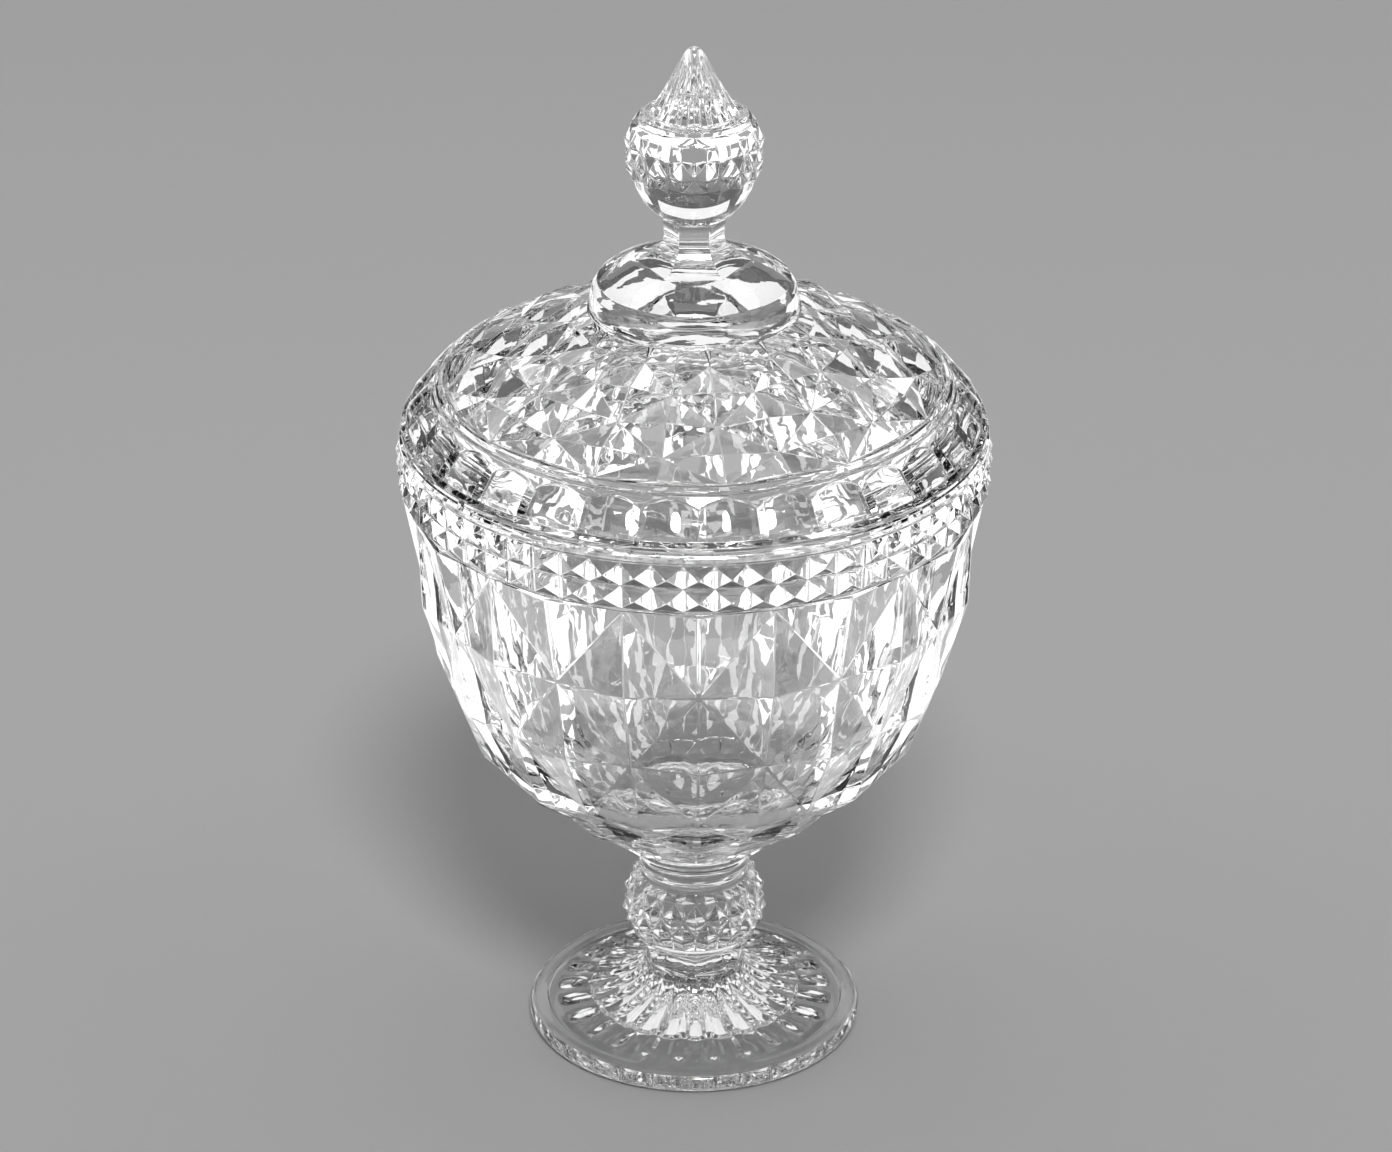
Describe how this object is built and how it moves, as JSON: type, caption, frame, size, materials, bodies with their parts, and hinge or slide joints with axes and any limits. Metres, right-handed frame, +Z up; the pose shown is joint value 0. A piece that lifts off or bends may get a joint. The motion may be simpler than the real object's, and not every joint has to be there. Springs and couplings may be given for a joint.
{
  "type": "footed glass jar with lid",
  "caption": "Footed clear glass jar with a diamond-cut bowl, a round knop stem and a domed lift-off lid with a pointed finial.",
  "frame": {"origin": "centre of the ring that the foot stands on, on the surface that the jar stands on", "axes": "+Z up along the jar's axis of rotation, from the foot to the finial's tip"},
  "size_m": [0.1512, 0.1512, 0.2766],
  "materials": {
    "clear_glass": "clear colourless pressed glass, fire polished, glossy"
  },
  "bodies": {
    "jar_body": {"foot": "clear_glass", "stem": "clear_glass", "bowl": "clear_glass"},
    "lid_body": {"lid": "clear_glass", "finial": "clear_glass"}
  },
  "joints": [
    {"name": "lid_lift", "type": "slide", "parent": "jar_body", "child": "lid_body", "axis": [0, 0, 1], "range_m": [0, 0.12]}
  ]
}
